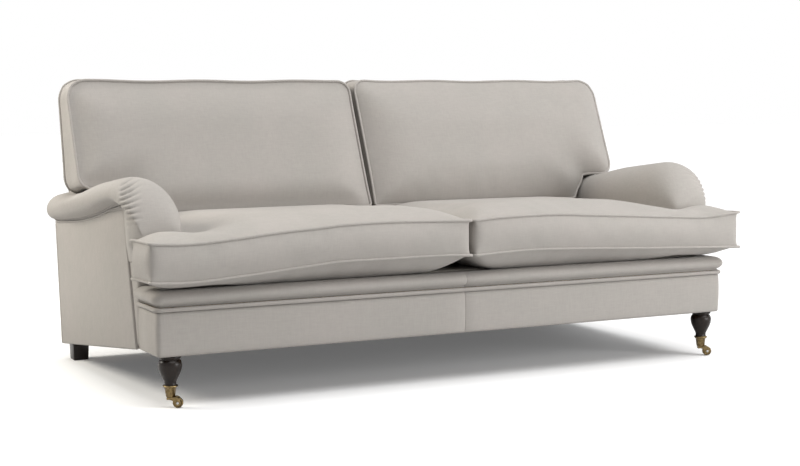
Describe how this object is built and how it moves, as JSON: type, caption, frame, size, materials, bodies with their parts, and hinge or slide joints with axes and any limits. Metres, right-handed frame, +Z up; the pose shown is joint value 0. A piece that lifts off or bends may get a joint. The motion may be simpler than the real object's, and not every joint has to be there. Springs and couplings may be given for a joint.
{
  "type": "roll-arm sofa",
  "caption": "Low roll-arm sofa in plain linen with loose T-shaped seat and back cushions, a piped front edge and turned front legs on brass castors.",
  "frame": {"origin": "on the floor, under the middle of the sofa's footprint", "axes": "+X to the right as seen from the front, +Y from the front to the back, +Z up"},
  "size_m": [1.966, 1.0901, 0.8792],
  "materials": {
    "linen": "plain linen weave, matt",
    "lining": "plain lining cloth, matt",
    "filling": "feather and foam filling",
    "webbing": "woven jute straps",
    "dust_cloth": "black dust cloth, matt",
    "leg_wood": "dark stain, satin lacquer",
    "frame_wood": "bare beech",
    "brass": "worn polish",
    "steel": "plain"
  },
  "bodies": {
    "frame": {"arm_board_left": "frame_wood", "arm_board_right": "frame_wood", "arm_pad_left": "linen", "arm_pad_right": "linen", "arm_panel_left": "linen", "arm_panel_right": "linen", "arm_post_left": "frame_wood", "arm_post_right": "frame_wood", "back_bottom_rail": "frame_wood", "back_pad": "linen", "back_post_centre": "frame_wood", "back_post_left": "frame_wood", "back_post_right": "frame_wood", "back_top_rail": "frame_wood", "back_webbing": "webbing", "base_piping": "linen", "castor_cups": "brass", "centre_stretcher": "frame_wood", "corner_blocks": "frame_wood", "cross_webbing": "webbing", "dust_cover": "dust_cloth", "front_border": "linen", "front_cleat": "frame_wood", "front_end_rail_left": "frame_wood", "front_end_rail_right": "frame_wood", "front_legs": "leg_wood", "front_lip": "linen", "front_rail": "frame_wood", "outside_back": "linen", "rear_legs": "leg_wood", "seat_back_rail": "frame_wood", "seat_deck": "lining", "seat_side_rail_left": "frame_wood", "seat_side_rail_right": "frame_wood", "seat_webbing": "webbing", "side_rail_left": "frame_wood", "side_rail_right": "frame_wood"},
    "castor_left": {"castor_horn_left": "brass", "castor_axle_left": "steel"},
    "wheel_left": {"castor_wheel_left": "brass"},
    "seat_left": {"seat_cushion_cover_left": "linen", "seat_cushion_core_left": "filling"},
    "back_left": {"back_cushion_cover_left": "linen", "back_cushion_core_left": "filling"},
    "castor_right": {"castor_horn_right": "brass", "castor_axle_right": "steel"},
    "wheel_right": {"castor_wheel_right": "brass"},
    "seat_right": {"seat_cushion_cover_right": "linen", "seat_cushion_core_right": "filling"},
    "back_right": {"back_cushion_cover_right": "linen", "back_cushion_core_right": "filling"}
  },
  "joints": [
    {"name": "castor_swivel_left", "type": "hinge", "parent": "frame", "child": "castor_left", "pos_m": [-0.884, -0.46074, 0.03], "axis": [0, 0, 1], "continuous": true},
    {"name": "castor_roll_left", "type": "hinge", "parent": "castor_left", "child": "wheel_left", "pos_m": [-0.86618, -0.46982, 0.014], "axis": [0.454, 0.891, 0], "continuous": true},
    {"name": "seat_cushion_pull_left", "type": "slide", "parent": "frame", "child": "seat_left", "axis": [0, -0.9997, 0.0262], "range_m": [0, 0.85]},
    {"name": "back_cushion_lift_left", "type": "slide", "parent": "frame", "child": "back_left", "axis": [0, 0.184, 0.9829], "range_m": [0, 0.45]},
    {"name": "castor_swivel_right", "type": "hinge", "parent": "frame", "child": "castor_right", "pos_m": [0.884, -0.46074, 0.03], "axis": [0, 0, 1], "continuous": true},
    {"name": "castor_roll_right", "type": "hinge", "parent": "castor_right", "child": "wheel_right", "pos_m": [0.90182, -0.46982, 0.014], "axis": [0.454, 0.891, 0], "continuous": true},
    {"name": "seat_cushion_pull_right", "type": "slide", "parent": "frame", "child": "seat_right", "axis": [0, -0.9997, 0.0262], "range_m": [0, 0.85]},
    {"name": "back_cushion_lift_right", "type": "slide", "parent": "frame", "child": "back_right", "axis": [0, 0.184, 0.9829], "range_m": [0, 0.45]}
  ]
}
